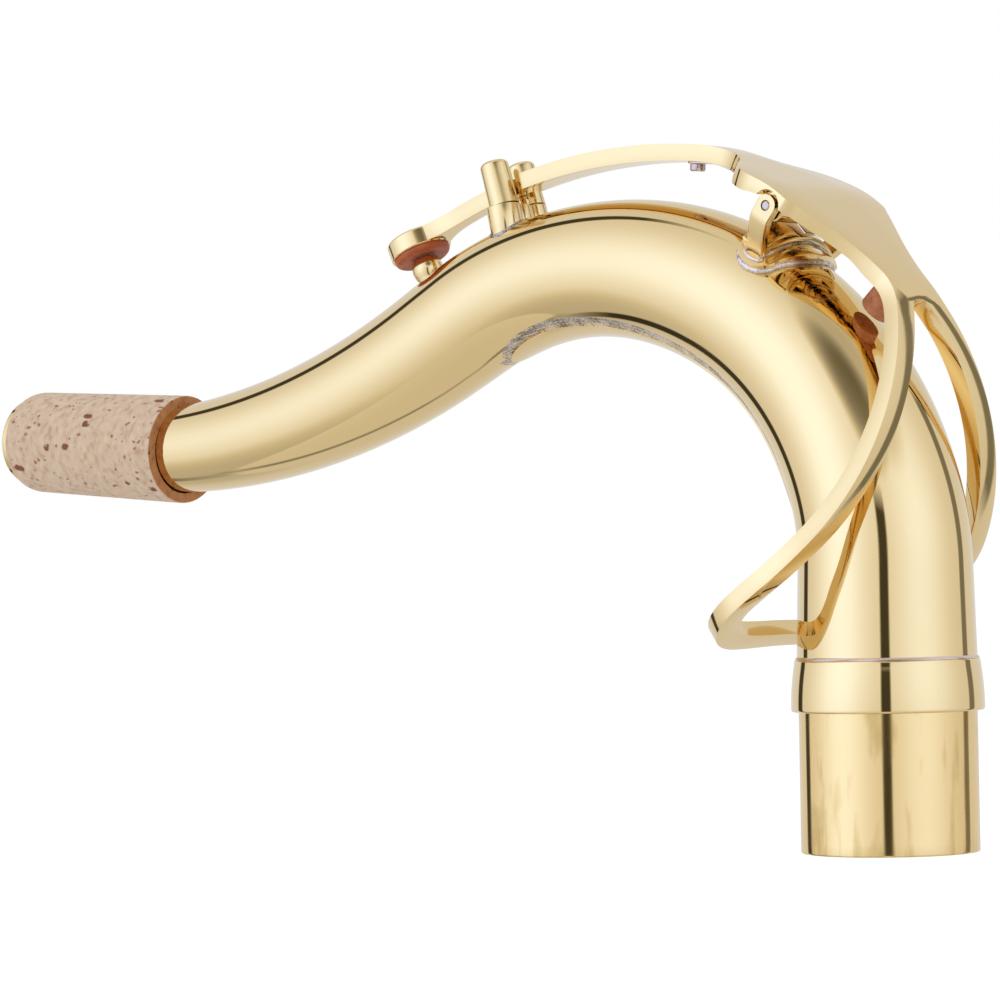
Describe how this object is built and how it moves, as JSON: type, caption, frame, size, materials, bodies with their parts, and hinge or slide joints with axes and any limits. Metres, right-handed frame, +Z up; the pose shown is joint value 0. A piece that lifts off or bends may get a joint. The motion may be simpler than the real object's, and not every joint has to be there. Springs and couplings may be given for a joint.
{
  "type": "saxophone neck",
  "caption": "Curved brass saxophone neck with a straight tenon, cork grip, octave pip and a hinged octave key with its ring.",
  "frame": {"origin": "middle of the tenon's open end, on the tenon's axis", "axes": "+Z up the tenon's axis towards the neck, -X towards the mouthpiece end, +Y towards the far side of the picture; the neck's curve lies in the XZ plane"},
  "size_m": [0.2023, 0.0524, 0.112],
  "materials": {
    "lacquered_brass": "polished, clear lacquer",
    "bare_brass": "satin, slightly tarnished",
    "steel": "polished",
    "spring_steel": "bright",
    "cork": "matte, pored",
    "pad_leather": "matte",
    "bumper_cork": "matte"
  },
  "bodies": {
    "neck": {"neck_tube": "lacquered_brass", "tenon_sleeve": "bare_brass", "tenon_collar": "lacquered_brass", "neck_cork": "cork", "mouth_ring": "bare_brass", "under_brace": "lacquered_brass", "octave_pip": "lacquered_brass", "guide_foot": "lacquered_brass", "guide_post_left": "lacquered_brass", "guide_post_right": "lacquered_brass", "hinge_saddle": "lacquered_brass", "hinge_rod": "steel"},
    "key": {"octave_key": "lacquered_brass", "hinge_barrel": "lacquered_brass", "octave_pad": "pad_leather", "key_bumper": "bumper_cork", "flat_spring": "spring_steel", "spring_screw": "steel"}
  },
  "joints": [
    {"name": "octave_key_swing", "type": "hinge", "parent": "neck", "child": "key", "pos_m": [-0.01196, 0, 0.09974], "axis": [0, 1, 0], "range_deg": [0, 3], "stiffness_Nm_per_rad": 0.3, "springref_deg": -11.46}
  ]
}
